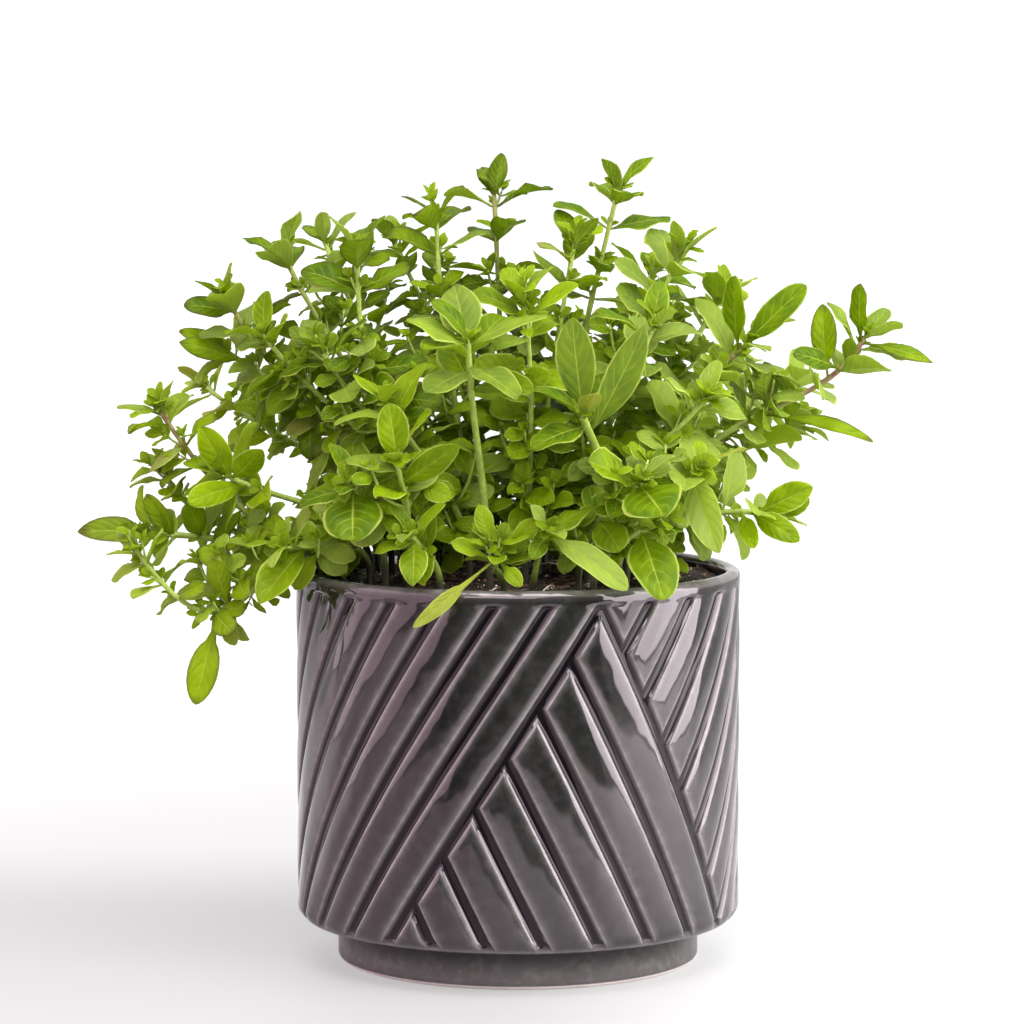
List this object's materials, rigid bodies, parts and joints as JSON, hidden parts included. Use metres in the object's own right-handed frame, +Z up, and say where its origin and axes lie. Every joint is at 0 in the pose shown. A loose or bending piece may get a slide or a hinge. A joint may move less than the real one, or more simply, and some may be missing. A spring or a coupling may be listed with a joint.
{
  "type": "potted oregano",
  "caption": "Bushy kitchen oregano growing in soil in a round grey glazed pot with slanting raised bands and a stepped foot.",
  "frame": {"origin": "centre of the pot's flat underside, on the surface it stands on", "axes": "+Z up; -Y towards the point of the bands' triangle and the viewer of the picture; +X to the viewer's right"},
  "size_m": [0.2463, 0.1817, 0.2358],
  "materials": {
    "pot_glaze": "gloss dark grey glaze, a little purple where it pools in the grooves",
    "soil": "matte moist dark brown potting compost with fine fibres",
    "oregano_leaf": "satin bright green leaf, paler below, with light veins",
    "oregano_stem": "satin pale green stem, reddish near some tips"
  },
  "bodies": {
    "root": {"pot": "pot_glaze", "soil": "soil", "stem_top_left": "oregano_leaf", "stem_upright_left": "oregano_leaf", "stem_high_left": "oregano_leaf", "stem_high_centre": "oregano_leaf", "stem_high_inner": "oregano_leaf", "stem_high_right": "oregano_leaf", "stem_shoulder_right": "oregano_leaf", "stem_upper_right": "oregano_leaf", "stem_red_right": "oregano_leaf", "stem_far_right": "oregano_leaf", "stem_low_right": "oregano_leaf", "stem_droop_right": "oregano_leaf", "stem_rim_right": "oregano_leaf", "stem_front_right": "oregano_leaf", "stem_thick_front": "oregano_leaf", "stem_front_heart": "oregano_leaf", "stem_front_long": "oregano_leaf", "stem_rosette": "oregano_leaf", "stem_front_centre": "oregano_leaf", "stem_front_left": "oregano_leaf", "stem_oval_left": "oregano_leaf", "stem_heart_left": "oregano_leaf", "stem_rim_left": "oregano_leaf", "stem_side_left": "oregano_leaf", "stem_reach_left": "oregano_leaf", "stem_curl_left": "oregano_leaf", "stem_twig_left": "oregano_leaf", "stem_hang_left": "oregano_leaf", "stem_shoulder_left": "oregano_leaf", "stem_elbow_left": "oregano_leaf", "stem_mid_left": "oregano_leaf", "stem_inner_left": "oregano_leaf", "stem_mid_front": "oregano_leaf", "stem_mid_centre": "oregano_leaf", "stem_mid_right": "oregano_leaf", "stem_inner_right": "oregano_leaf", "stem_back_far_right": "oregano_leaf", "stem_back_high_right": "oregano_leaf", "stem_back_right": "oregano_leaf", "stem_back_mid_right": "oregano_leaf", "stem_back_low_right": "oregano_leaf", "stem_back_high": "oregano_leaf", "stem_back_mid_left": "oregano_leaf", "stem_back_low_left": "oregano_leaf", "stem_back_high_left": "oregano_leaf", "stem_back_left": "oregano_leaf", "stem_back_far_left": "oregano_leaf"}
  },
  "joints": []
}
